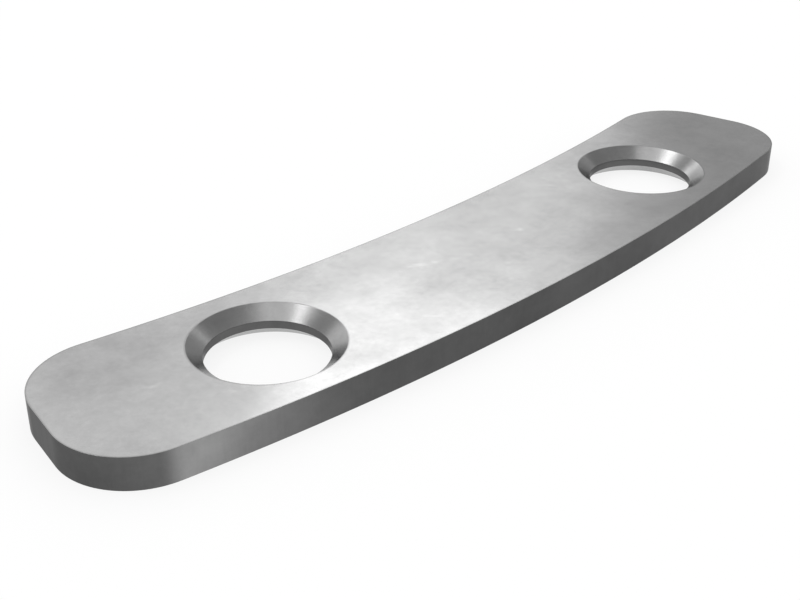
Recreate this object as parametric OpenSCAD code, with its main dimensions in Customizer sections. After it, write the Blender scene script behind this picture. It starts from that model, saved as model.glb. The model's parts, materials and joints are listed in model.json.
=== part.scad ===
// Curved spacer plate: a flat sector of a ring with rounded corners and two
// through holes, each countersunk the same on both faces so that the plate
// can be fitted either way up. It is one piece of steel plate.
//
// Origin: on the bottom face, midway between the two hole axes.
// +X runs along the line through the holes, +Y towards the concave edge and
// +Z up through the thickness.

/* [Plate] */
// Radius of the centre line that both holes sit on
line_r = 420; // [220:5:990]
// Angle from end to end, seen from the arc's centre
span_a = 21; // [17:0.5:60]
// Width between the two curved edges
plate_w = 30; // [26:0.5:60]
// Thickness
plate_t = 5; // [4:0.5:20]
// Radius of the four corners, seen from above
corner_r = 11.5; // [2:0.5:14]

/* [Holes] */
// Angle between the two hole axes, seen from the arc's centre
pitch_a = 12; // [5:0.5:16]
// Diameter of the straight wall in the middle of each hole
bore_d = 18; // [8:0.5:22]
// Width of each countersink, from the straight wall out to its rim
sink_w = 2.25; // [0.5:0.25:2.75]
// Included angle of each countersink
sink_a = 100; // [90:1:130]

/* [Hidden] */
$fn = 240;

// How far a cut runs past the face that it opens
cut_past = 1;
// How far a corner arc runs past the two edges it blends into, so that it crosses both
arc_past = 0.002;
half_a = span_a / 2;
outer_r = line_r + plate_w / 2;
inner_r = line_r - plate_w / 2;
// Places the hole axes on the X axis
arc_centre_y = line_r * cos(pitch_a / 2);
hole_x = line_r * sin(pitch_a / 2);
bore_r = bore_d / 2;
sink_depth = sink_w / tan(sink_a / 2);

// Direction away from the arc's centre at angle a from the middle of the plate
function outward(a) = [sin(a), -cos(a)];

// Point at radius r and angle a about the arc's centre
function on_arc(r, a) = [0, arc_centre_y] + r * outward(a);

// Angle of a corner arc whose own centre lies at radius r, so that it meets the end
function corner_a(r) = half_a - asin(corner_r / r);

// Sector of a ring with straight, radial ends and sharp corners
module blank() {
    translate([0, arc_centre_y, 0])
        rotate([0, 0, -90 - half_a])
            rotate_extrude(angle = span_a)
                translate([inner_r, 0])
                    square([plate_w, plate_t]);
}

// What is cut away to round one corner: a tile with a circle left standing in it.
// The tile reaches from the corner arc's centre along the normals of both edges.
module corner_cut(centre, edge_normal) {
    end_normal = [cos(half_a), sin(half_a)];
    reach = 2 * corner_r;
    translate([0, 0, -cut_past])
        linear_extrude(plate_t + 2 * cut_past)
            difference() {
                polygon([
                    centre,
                    centre + reach * edge_normal,
                    centre + reach * (edge_normal + end_normal),
                    centre + reach * end_normal
                ]);
                translate(centre + arc_past * (edge_normal + end_normal)) circle(corner_r);
            }
}

// Both corners of the right-hand end
module end_corners() {
    front_r = outer_r - corner_r;
    back_r = inner_r + corner_r;
    corner_cut(on_arc(front_r, corner_a(front_r)), outward(corner_a(front_r)));
    corner_cut(on_arc(back_r, corner_a(back_r)), -outward(corner_a(back_r)));
}

// Space of one hole about the Z axis: a straight wall between two equal countersinks
module hole() {
    rim_r = bore_r + (sink_depth + cut_past) * tan(sink_a / 2);
    rotate_extrude()
        polygon([
            [0, -cut_past],
            [rim_r, -cut_past],
            [bore_r, sink_depth],
            [bore_r, plate_t - sink_depth],
            [rim_r, plate_t + cut_past],
            [0, plate_t + cut_past]
        ]);
}

module spacer_plate() {
    color("silver")
        difference() {
            blank();
            for (side = [0, 1])
                mirror([side, 0, 0]) {
                    end_corners();
                    translate([hole_x, 0, 0]) hole();
                }
        }
}

spacer_plate();
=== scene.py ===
import json
import math

import bmesh
import bpy
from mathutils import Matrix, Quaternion, Vector


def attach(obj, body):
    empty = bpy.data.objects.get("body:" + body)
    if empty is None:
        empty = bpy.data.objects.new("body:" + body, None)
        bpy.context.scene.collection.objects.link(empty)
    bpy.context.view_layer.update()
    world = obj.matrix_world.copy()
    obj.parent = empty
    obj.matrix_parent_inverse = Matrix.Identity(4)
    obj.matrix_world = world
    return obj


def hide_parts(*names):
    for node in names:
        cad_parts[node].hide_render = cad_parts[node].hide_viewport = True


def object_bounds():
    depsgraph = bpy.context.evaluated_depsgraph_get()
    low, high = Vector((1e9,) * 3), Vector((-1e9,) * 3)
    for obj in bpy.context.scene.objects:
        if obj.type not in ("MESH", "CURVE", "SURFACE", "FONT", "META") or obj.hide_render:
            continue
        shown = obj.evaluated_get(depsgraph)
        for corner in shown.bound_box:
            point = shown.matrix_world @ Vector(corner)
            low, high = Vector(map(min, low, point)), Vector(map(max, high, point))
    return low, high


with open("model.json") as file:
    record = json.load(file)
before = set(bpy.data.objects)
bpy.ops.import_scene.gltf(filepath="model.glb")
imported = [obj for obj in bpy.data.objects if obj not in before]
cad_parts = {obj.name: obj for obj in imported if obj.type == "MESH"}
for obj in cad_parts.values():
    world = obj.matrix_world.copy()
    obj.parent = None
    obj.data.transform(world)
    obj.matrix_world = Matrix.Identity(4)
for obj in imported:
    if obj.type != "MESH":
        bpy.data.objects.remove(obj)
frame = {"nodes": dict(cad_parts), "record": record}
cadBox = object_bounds()
print("frame loaded, nodes:", sorted(frame["nodes"]))


# the plate, in metres; its holes and thickness come from the frame
plate = {
    "node": "spacer_plate",
    "lineRadius": 0.420,      # centre line of the arc, on which both holes sit
    "width": 0.030,           # between the two curved edges
    "spanDeg": 21.0,          # from end to end, seen from the arc's centre
    "cornerRadius": 0.0115,
    "sinkWidth": 0.00225,     # countersink, from the straight wall out to its rim
    "sinkDeg": 100.0,         # included angle of the countersink
    "edgeBreak": 0.00003,     # how far every sharp edge is rubbed back
    "edgeSegments": 2,
    "rimFlat": 0.0003,        # flat strip beside each edge, over which its painted edge shade fades
    "longSteps": 96,          # faces along each long curved wall
    "cornerSteps": 28,
    "holeSteps": 144,
    "weld": 0.000004,         # points closer than this are one
}

# how level a face lies, by the upright part of its normal: 1 is flat, 0 is upright
lie = {"level": 0.9999, "flat": 0.9, "sloping": 0.6}

mounts = {mount["name"]: mount for mount in frame["record"]["mounts"]}
holeMounts = [mounts["hole_left"], mounts["hole_right"]]


def boreRadius(mount):
    return mount["dims"]["r_mm"] / 1000


def rimRadius(mount):
    return boreRadius(mount) + plate["sinkWidth"]


def meshObject(bm, name):
    mesh = bpy.data.meshes.new(name)
    bm.to_mesh(mesh)
    bm.free()
    piece = bpy.data.objects.new(name, mesh)
    bpy.context.scene.collection.objects.link(piece)
    return piece


def profileWire(bm, points):
    # a wire through the points, with its inner corners rubbed round
    verts = [bm.verts.new(point) for point in points]
    for pair in zip(verts, verts[1:]):
        bm.edges.new(pair)
    bmesh.ops.bevel(
        bm, geom=verts[1:-1], offset=plate["edgeBreak"], segments=plate["edgeSegments"],
        profile=0.5, affect="VERTICES", material=-1)
    wire = [edge for edge in bm.edges if edge.is_wire]
    return list(dict.fromkeys(vert for edge in wire for vert in edge.verts)) + wire


def sweep(bm, ring, centre, angle=0.0, steps=1, shift=(0, 0, 0), merge=False):
    # turns a profile about a vertical axis, or pushes it straight along, and returns its new end
    made = bmesh.ops.spin(
        bm, geom=ring, cent=centre, axis=(0, 0, 1), dvec=shift,
        angle=angle, steps=steps, use_merge=merge)
    return made["geom_last"]


def buildPlate():
    lineRadius = plate["lineRadius"]
    corner = plate["cornerRadius"]
    flat = plate["rimFlat"]
    thick = cadBox[1].z - cadBox[0].z
    halfSpan = math.radians(plate["spanDeg"]) / 2
    holeX = holeMounts[1]["pos_m"][0]
    arcCentre = Vector((0, math.sqrt(lineRadius ** 2 - holeX ** 2), 0))
    outer = lineRadius + plate["width"] / 2
    inner = lineRadius - plate["width"] / 2

    def onArc(radius, angle, z=0.0):
        return arcCentre + Vector((radius * math.sin(angle), -radius * math.cos(angle), z))

    # where the corner arcs have their centres, on the front and the back edge
    frontAngle = halfSpan - math.asin(corner / (outer - corner))
    backAngle = halfSpan - math.asin(corner / (inner + corner))
    frontRight = onArc(outer - corner, frontAngle)
    backRight = onArc(inner + corner, backAngle)
    frontLeft = onArc(outer - corner, -frontAngle)
    backLeft = onArc(inner + corner, -backAngle)
    frontTurn = math.pi / 2 + halfSpan - frontAngle
    backTurn = math.pi / 2 - halfSpan + backAngle

    # outer wall: its section runs once round the outline
    bm = bmesh.new()
    ring = profileWire(bm, [
        onArc(outer - flat, -frontAngle, thick),
        onArc(outer, -frontAngle, thick),
        onArc(outer, -frontAngle, 0),
        onArc(outer - flat, -frontAngle, 0)])
    ring = sweep(bm, ring, arcCentre, 2 * frontAngle, plate["longSteps"])
    ring = sweep(bm, ring, frontRight, frontTurn, plate["cornerSteps"])
    ring = sweep(bm, ring, frontRight, shift=backRight - frontRight)
    ring = sweep(bm, ring, backRight, backTurn, plate["cornerSteps"])
    ring = sweep(bm, ring, arcCentre, -2 * backAngle, plate["longSteps"])
    ring = sweep(bm, ring, backLeft, backTurn, plate["cornerSteps"])
    ring = sweep(bm, ring, backLeft, shift=frontLeft - backLeft)
    sweep(bm, ring, frontLeft, frontTurn, plate["cornerSteps"])

    # holes: a straight wall between two equal countersinks, turned about each axis
    for mount in holeMounts:
        axis = Vector(mount["pos_m"])
        bore = boreRadius(mount)
        rim = rimRadius(mount)
        sinkDepth = plate["sinkWidth"] / math.tan(math.radians(plate["sinkDeg"]) / 2)
        section = [
            (rim + flat, thick), (rim, thick), (bore, thick - sinkDepth),
            (bore, sinkDepth), (rim, 0), (rim + flat, 0)]
        wire = profileWire(bm, [(axis.x + radius, axis.y, z) for radius, z in section])
        sweep(bm, wire, axis, math.tau, plate["holeSteps"], merge=True)

    # the two flat faces fill what is left open at each level, and the painted edge shade fades out
    # before them
    bmesh.ops.remove_doubles(bm, verts=bm.verts, dist=plate["weld"])
    paintedEdgeShade = bm.verts.layers.float.new("edgeShade")
    for vert in bm.verts:
        vert[paintedEdgeShade] = 0.0 if vert.is_boundary else 1.0
    for level in (0.0, thick):
        rims = [edge for edge in bm.edges if edge.is_boundary
                and all(abs(vert.co.z - level) < plate["weld"] for vert in edge.verts)]
        bmesh.ops.triangle_fill(bm, use_beauty=True, edges=rims, normal=(0, 0, 1))
    bmesh.ops.recalc_face_normals(bm, faces=bm.faces)
    for face in bm.faces:
        face.smooth = abs(face.normal.z) < lie["level"]
    openEdges = sum(1 for edge in bm.edges if not edge.is_manifold)
    print("plate built:", len(bm.faces), "faces,", openEdges, "open edges")

    piece = meshObject(bm, "steelPlate")
    shading = piece.modifiers.new("flatShading", "WEIGHTED_NORMAL")
    shading.mode = "FACE_AREA"
    shading.weight = 100
    shading.keep_sharp = True
    return piece


def grey(value):
    return (value, value, value, 1.0)


class NodeDesk:
    # adds nodes to a tree; an input is either a plain value or the socket that feeds it
    def __init__(self, tree):
        self.tree = tree
        self.tree.nodes.clear()

    def add(self, kind, inputs=None, **settings):
        node = self.tree.nodes.new(kind)
        for name, value in settings.items():
            setattr(node, name, value)
        for name, value in (inputs or {}).items():
            if isinstance(value, bpy.types.NodeSocket):
                self.tree.links.new(value, node.inputs[name])
            else:
                node.inputs[name].default_value = value
        return node

    def math(self, operation, *values):
        return self.add("ShaderNodeMath", dict(enumerate(values)), operation=operation).outputs[0]

    def times(self, first, second):
        return self.math("MULTIPLY", first, second)

    def scale(self, value, low, high, fromLow=0.0, fromHigh=1.0, smooth=False):
        # carries a value over to another range, and holds it there
        return self.add("ShaderNodeMapRange", {
            "Value": value, "From Min": fromLow, "From Max": fromHigh, "To Min": low, "To Max": high},
            interpolation_type="SMOOTHSTEP" if smooth else "LINEAR").outputs["Result"]

    def swing(self, noise, middle, reach):
        # noise mostly stays between 0.3 and 0.7
        return self.scale(noise, middle - reach, middle + reach, 0.3, 0.7)

    def noise(self, vector, scale, detail=3.0, roughness=0.6):
        return self.add("ShaderNodeTexNoise", {
            "Vector": vector, "Scale": scale, "Detail": detail, "Roughness": roughness}).outputs["Fac"]

    def bump(self, height, depth, under=None):
        node = self.add("ShaderNodeBump", {"Height": height, "Strength": 1.0, "Distance": depth})
        if under:
            self.tree.links.new(under, node.inputs["Normal"])
        return node.outputs["Normal"]


def newMaterial(name):
    material = bpy.data.materials.new(name)
    material.use_nodes = True
    return material, NodeDesk(material.node_tree)


# what all the steel surfaces share
steel = {
    "cloudScale": 45.0,       # clouds of about 20 mm, with wisps well under 1 mm
    "cloudDetail": 10.0,
    "cloudFeather": 0.75,     # how strong the wisps are beside the clouds
    "cloudSpread": 0.235,     # share by which clouds lighten and darken a tone
    "cloudShift": (3.3739, 4.8753, -2.4618),  # slides the pattern along
    "grainScale": 2600.0,     # rolling grain, under half a millimetre
    "grainDetail": 2.0,
    "grainFeather": 0.5,
    "grainHeight": 0.0000005,
}


def newGroup(name, floats, output):
    group = bpy.data.node_groups.new(name, "ShaderNodeTree")
    group.interface.new_socket("Vector", in_out="INPUT", socket_type="NodeSocketVector")
    for socket in floats:
        group.interface.new_socket(socket, in_out="INPUT", socket_type="NodeSocketFloat")
    group.interface.new_socket(output, in_out="OUTPUT", socket_type="NodeSocketFloat")
    desk = NodeDesk(group)
    return group, desk, desk.add("NodeGroupInput").outputs


def cloudGroup():
    # mottled tone painted in as a cloudy reflection: lighter and darker by the spread, about 1
    group, desk, given = newGroup("steelClouds", ["Scale", "Spread"], "Gain")
    noise = desk.noise(given["Vector"], given["Scale"], steel["cloudDetail"], steel["cloudFeather"])
    swing = desk.scale(noise, -1.5, 1.5, 0.2, 0.8)  # one spread either way at 0.3 and 0.7
    desk.add("NodeGroupOutput", {"Gain": desk.math("MULTIPLY_ADD", swing, given["Spread"], 1.0)})
    return group


def grainGroup():
    # fine grain as a height, for the bump of every steel surface
    group, desk, given = newGroup("steelGrain", ["Scale"], "Height")
    noise = desk.noise(given["Vector"], given["Scale"], steel["grainDetail"], steel["grainFeather"])
    desk.add("NodeGroupOutput", {"Height": noise})
    return group


class SteelSurface:
    # what the steel materials share: coordinates, clouds painted in as a mottled reflection, and grain
    def __init__(self, name, groups):
        self.material, self.desk = newMaterial(name)
        self.spot = self.desk.add("ShaderNodeTexCoord").outputs["Object"]
        shifted = self.mapped(Location=steel["cloudShift"])
        self.gain = self.desk.add("ShaderNodeGroup", {
            "Vector": shifted, "Scale": steel["cloudScale"], "Spread": steel["cloudSpread"]},
            node_tree=groups["clouds"]).outputs["Gain"]
        self.height = self.desk.add("ShaderNodeGroup", {
            "Vector": self.spot, "Scale": steel["grainScale"]},
            node_tree=groups["grain"]).outputs["Height"]

    def mapped(self, kind="POINT", **inputs):
        return self.desk.add(
            "ShaderNodeMapping", {"Vector": self.spot, **inputs}, vector_type=kind).outputs["Vector"]

    def finish(self, tone, roughness, marks=None, markDepth=0.0, edgeTint=1.0, metal=1.0):
        normal = self.desk.bump(self.height, steel["grainHeight"])
        if marks:
            normal = self.desk.bump(marks, markDepth, normal)
        shader = self.desk.add("ShaderNodeBsdfPrincipled", {
            "Base Color": tone, "Roughness": roughness, "Normal": normal,
            "Metallic": metal, "Specular Tint": grey(edgeTint)})
        self.desk.add("ShaderNodeOutputMaterial", {"Surface": shader.outputs["BSDF"]})
        return self.material


# the two flat faces, as rolled
rolledFace = {
    "tone": 0.441,
    "roughness": 0.23,
    "roughnessSwing": 0.025,  # pale clouds are smoother and dark ones rougher
    "edgeDark": 0.35,         # share of painted shade that darkens the faces at their very edge
    "rubScale": 210.0,        # small pale rubs of a few millimetres
    "rubShift": (-2.8853, 1.9496, -2.8884),  # slides the pattern along
    "rubTurnDeg": -40.0,
    "rubStretch": (1.5, 0.75, 1.0),  # they are longer than they are wide
    "rubFrom": 0.66,          # noise rarely gets this high, so rubs are few
    "rubTo": 0.78,
    "rubGain": 0.16,
}


def faceMaterial(groups):
    surface = SteelSurface("rolledFace", groups)
    desk = surface.desk
    turned = surface.mapped(
        "TEXTURE", Location=rolledFace["rubShift"], Scale=rolledFace["rubStretch"],
        Rotation=(0, 0, math.radians(rolledFace["rubTurnDeg"])))
    rubs = desk.scale(
        desk.noise(turned, rolledFace["rubScale"]), 1.0, 1.0 + rolledFace["rubGain"],
        rolledFace["rubFrom"], rolledFace["rubTo"], smooth=True)
    # painted shade: the flat faces are darkened along their edges
    paintedEdgeShade = desk.add("ShaderNodeAttribute", attribute_name="edgeShade").outputs["Fac"]
    edge = desk.scale(paintedEdgeShade, 1.0, 1.0 - rolledFace["edgeDark"])
    tone = desk.times(desk.times(desk.times(surface.gain, rolledFace["tone"]), rubs), edge)
    swing = rolledFace["roughnessSwing"]
    roughness = desk.scale(
        surface.gain, rolledFace["roughness"] + swing, rolledFace["roughness"] - swing,
        1.0 - steel["cloudSpread"], 1.0 + steel["cloudSpread"])
    return surface.finish(tone, roughness)


# the turned surfaces: bright countersinks, and bores painted dark as shade
turnedSteel = {
    "roughness": 0.25,
    "roughnessSwing": 0.04,
    "ringScale": 5200.0,      # rings of about 0.2 mm, left by the tool
    "ringDepth": 0.0000012,
    # metal below 1 scatters a little of the light; the edge tint greys the sheen at a low angle as
    # painted shade, less so on the countersinks underneath
    "upperSink": {"tone": 0.415, "metal": 0.94, "edgeTint": 0.6},
    "lowerSink": {"tone": 0.415, "metal": 0.94, "edgeTint": 0.83},
    # bore walls get a dark tone, painted in as shade
    "boredWall": {"tone": 0.117, "metal": 1.0, "edgeTint": 0.6},
}


def turnedMaterial(groups, name):
    spec = turnedSteel[name]
    surface = SteelSurface(name, groups)
    desk = surface.desk
    # the rings run round each hole, so they change with height alone
    rings = desk.noise(surface.mapped(Scale=(0, 0, 1)), turnedSteel["ringScale"])
    roughness = desk.swing(rings, turnedSteel["roughness"], turnedSteel["roughnessSwing"])
    return surface.finish(
        desk.times(surface.gain, spec["tone"]), roughness, rings, turnedSteel["ringDepth"],
        spec["edgeTint"], spec["metal"])


# the outer walls, painted dark as shade, with one stretch of the front painted paler as a reflection
cutWall = {
    "tone": 0.0905,
    "lighterTone": 0.125,        # along X, the painted shade gets lighter
    "lighterFrom": -0.013,
    "lighterTo": 0.047,
    "roughness": 0.32,
    "roughnessSwing": 0.03,
    "edgeTint": 0.6,          # the sheen is greyed at a low angle, a painted shade
    "dragScale": 1500.0,      # faint drag lines, close together
    "dragStretch": 0.06,      # and nearly upright
    "dragSwing": 0.03,
    "dragDepth": 0.0000008,
    "reflectionTone": 0.172,        # what the full painted reflection adds to the tone
    "reflectionTail": 0.18,         # share of the painted reflection that starts round the corner
    "tailFrom": -0.0777,      # along X, the painted reflection starts here
    "riseFrom": -0.0702,
    "riseTo": -0.0668,
    "fadeFrom": -0.0630,
    "fadeTo": -0.0370,
    "frontTo": -0.004,        # along Y, it keeps to the front
    "backFrom": 0.002,
}


def wallMaterial(groups):
    surface = SteelSurface("cutWall", groups)
    desk = surface.desk
    drags = desk.noise(surface.mapped(Scale=(1, 1, cutWall["dragStretch"])), cutWall["dragScale"])
    # the painted reflection starts weakly round the corner, rises at once where the corner ends and
    # fades out slowly
    place = desk.add("ShaderNodeSeparateXYZ", {"Vector": surface.spot}).outputs
    tail = desk.scale(
        place["X"], 0.0, cutWall["reflectionTail"], cutWall["tailFrom"], cutWall["riseFrom"], smooth=True)
    rise = desk.scale(
        place["X"], 0.0, 1.0 - cutWall["reflectionTail"], cutWall["riseFrom"], cutWall["riseTo"], smooth=True)
    fade = desk.scale(place["X"], 1.0, 0.0, cutWall["fadeFrom"], cutWall["fadeTo"])
    front = desk.scale(place["Y"], 1.0, 0.0, cutWall["frontTo"], cutWall["backFrom"], smooth=True)
    paintedReflection = desk.times(desk.times(desk.math("ADD", tail, rise), desk.times(fade, fade)), front)
    # painted shade: the wall tone is dark, and lighter along X
    shadedTone = desk.scale(
        place["X"], cutWall["tone"], cutWall["lighterTone"], cutWall["lighterFrom"], cutWall["lighterTo"])
    plain = desk.math("MULTIPLY_ADD", paintedReflection, cutWall["reflectionTone"], shadedTone)
    tone = desk.times(desk.times(plain, surface.gain), desk.swing(drags, 1.0, cutWall["dragSwing"]))
    roughness = desk.swing(drags, cutWall["roughness"], cutWall["roughnessSwing"])
    return surface.finish(tone, roughness, drags, cutWall["dragDepth"], cutWall["edgeTint"])


def dressPlate(piece):
    groups = {"clouds": cloudGroup(), "grain": grainGroup()}
    finishes = {
        "flat": faceMaterial(groups),
        "upper": turnedMaterial(groups, "upperSink"),
        "lower": turnedMaterial(groups, "lowerSink"),
        "bore": turnedMaterial(groups, "boredWall"),
        "upright": wallMaterial(groups)}
    for material in finishes.values():
        piece.data.materials.append(material)
    # the lie of a face says which finish it has, and upright faces inside a rim are bores
    order = list(finishes)
    for face in piece.data.polygons:
        upward = face.normal.z
        inHole = any(
            (face.center - Vector(mount["pos_m"])).xy.length < rimRadius(mount) for mount in holeMounts)
        if abs(upward) > lie["flat"]:
            finish = "flat"
        elif abs(upward) > lie["sloping"]:
            finish = "upper" if upward > 0 else "lower"
        else:
            finish = "bore" if inHole else "upright"
        face.material_index = order.index(finish)
    print("plate dressed in", len(finishes), "finishes")


# pale floor, lit white for the eye and the metal, with some of its shadow kept
floor = {"radius": 4.0, "segments": 96, "drop": 0.00002, "tone": 0.92, "whiteShare": 0.82}


def buildFloor():
    bm = bmesh.new()
    bmesh.ops.create_circle(bm, cap_ends=True, radius=floor["radius"], segments=floor["segments"])
    bmesh.ops.translate(bm, verts=bm.verts, vec=(0, 0, cadBox[0].z - floor["drop"]))
    piece = meshObject(bm, "floor")

    material, desk = newMaterial("paleFloor")
    path = desk.add("ShaderNodeLightPath").outputs
    seen = desk.math("MAXIMUM", path["Is Camera Ray"], path["Is Glossy Ray"])
    seen = desk.math("MAXIMUM", seen, path["Is Transmission Ray"])
    matt = desk.add("ShaderNodeBsdfDiffuse", {"Color": grey(floor["tone"])})
    white = desk.add("ShaderNodeEmission", {"Color": grey(1.0), "Strength": 1.0})
    mixed = desk.add("ShaderNodeMixShader", {
        0: desk.times(seen, floor["whiteShare"]), 1: matt.outputs[0], 2: white.outputs[0]})
    desk.add("ShaderNodeOutputMaterial", {"Surface": mixed.outputs[0]})
    piece.data.materials.append(material)
    print("floor laid")


# a white room: softboxes add their level to it, and cards show the metal their own level instead;
# azimuth runs from +Y towards +X, sizes are in metres
studio = {
    "distance": 2.0,
    "worldLevel": 1.0,
    "softboxes": [
        {"name": "rearSoftbox", "azimuth": 45.6, "elevation": 38.2,
         "width": 0.47, "height": 0.64, "level": 1.66},
        {"name": "leftStrip", "azimuth": -42, "elevation": 61.4,
         "width": 0.98, "height": 0.34, "level": 2.95},
        {"name": "frontRightSoftbox", "azimuth": 136, "elevation": 18,
         "width": 0.5, "height": 0.6, "level": 0.5},
        {"name": "frontLeftSoftbox", "azimuth": -128, "elevation": 20,
         "width": 0.6, "height": 0.6, "level": 0.5},
        {"name": "leftSoftbox", "azimuth": -88, "elevation": 22,
         "width": 0.4, "height": 0.5, "level": 0.5},
    ],
    "cards": [
        {"name": "rightCard", "azimuth": 75.9, "elevation": 14,
         "width": 1.32, "height": 1.0, "level": 0.40},
        {"name": "highCard", "azimuth": 121, "elevation": 53.7,
         "width": 1.69, "height": 2.67, "level": 0.27},
        {"name": "leftCard", "azimuth": -31, "elevation": 40,
         "width": 2.04, "height": 0.80, "level": 0.31},
        {"name": "backCard", "azimuth": 12, "elevation": 27,
         "width": 0.40, "height": 0.40, "level": 2.1},
    ],
}


def towards(azimuthDeg, elevationDeg):
    azimuth = math.radians(azimuthDeg)
    elevation = math.radians(elevationDeg)
    return Vector((
        math.sin(azimuth) * math.cos(elevation),
        math.cos(azimuth) * math.cos(elevation),
        math.sin(elevation)))


def aim(piece, spec, forward):
    away = towards(spec["azimuth"], spec["elevation"])
    piece.location = away * studio["distance"]
    piece.rotation_mode = "QUATERNION"
    piece.rotation_quaternion = (-away).to_track_quat(forward, "Y")


def addSoftbox(spec):
    light = bpy.data.lights.new(spec["name"], "AREA")
    light.shape = "RECTANGLE"
    light.size = spec["width"]
    light.size_y = spec["height"]
    light.energy = spec["level"] * math.pi * spec["width"] * spec["height"]
    lamp = bpy.data.objects.new(spec["name"], light)
    bpy.context.scene.collection.objects.link(lamp)
    aim(lamp, spec, "-Z")


def addCard(spec):
    bm = bmesh.new()
    bmesh.ops.create_grid(bm, x_segments=1, y_segments=1, size=0.5)
    bmesh.ops.scale(bm, verts=bm.verts, vec=(spec["width"], spec["height"], 1))
    card = meshObject(bm, spec["name"])
    aim(card, spec, "Z")
    material, desk = newMaterial(spec["name"])
    glow = desk.add("ShaderNodeEmission", {"Color": grey(spec["level"]), "Strength": 1.0})
    desk.add("ShaderNodeOutputMaterial", {"Surface": glow.outputs[0]})
    card.data.materials.append(material)
    card.visible_camera = False
    card.visible_diffuse = False
    card.visible_shadow = False


def buildStudio():
    world = bpy.data.worlds.new("whiteStudio")
    world.use_nodes = True
    desk = NodeDesk(world.node_tree)
    sky = desk.add("ShaderNodeBackground", {"Color": grey(1.0), "Strength": studio["worldLevel"]})
    desk.add("ShaderNodeOutputWorld", {"Surface": sky.outputs[0]})
    bpy.context.scene.world = world
    for spec in studio["softboxes"]:
        addSoftbox(spec)
    for spec in studio["cards"]:
        addCard(spec)
    bpy.context.scene.view_settings.view_transform = "Standard"
    print("studio set:", len(studio["softboxes"]), "softboxes,", len(studio["cards"]), "cards")


# camera at the photograph's angle, for a frame of 800 by 600
eye = {
    "target": (-0.022463, -0.004578, 0.005),
    "azimuthDeg": -45.045,    # 0 looks along +Y, from the front
    "elevationDeg": 28.540,
    "rollDeg": 0.094,
    "distance": 0.184736,
    "focalPixels": 1259.0,
    "frameWidth": 800,
    "sensor": 36.0,
    "clipNear": 0.01,
    "clipFar": 20.0,
}


def buildCamera():
    back = towards(180.0 - eye["azimuthDeg"], eye["elevationDeg"])
    lens = bpy.data.cameras.new("camera")
    lens.sensor_fit = "HORIZONTAL"
    lens.sensor_width = eye["sensor"]
    lens.lens = eye["focalPixels"] * eye["sensor"] / eye["frameWidth"]
    lens.clip_start = eye["clipNear"]
    lens.clip_end = eye["clipFar"]
    camera = bpy.data.objects.new("camera", lens)
    bpy.context.scene.collection.objects.link(camera)
    camera.location = Vector(eye["target"]) + back * eye["distance"]
    camera.rotation_mode = "QUATERNION"
    roll = Quaternion((0, 0, 1), math.radians(eye["rollDeg"]))
    camera.rotation_quaternion = (-back).to_track_quat("-Z", "Y") @ roll
    bpy.context.scene.camera = camera
    print("camera set, lens", round(lens.lens, 2), "mm")


plateObject = buildPlate()
dressPlate(plateObject)
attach(plateObject, "root")
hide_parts(plate["node"])

buildFloor()
buildStudio()
buildCamera()
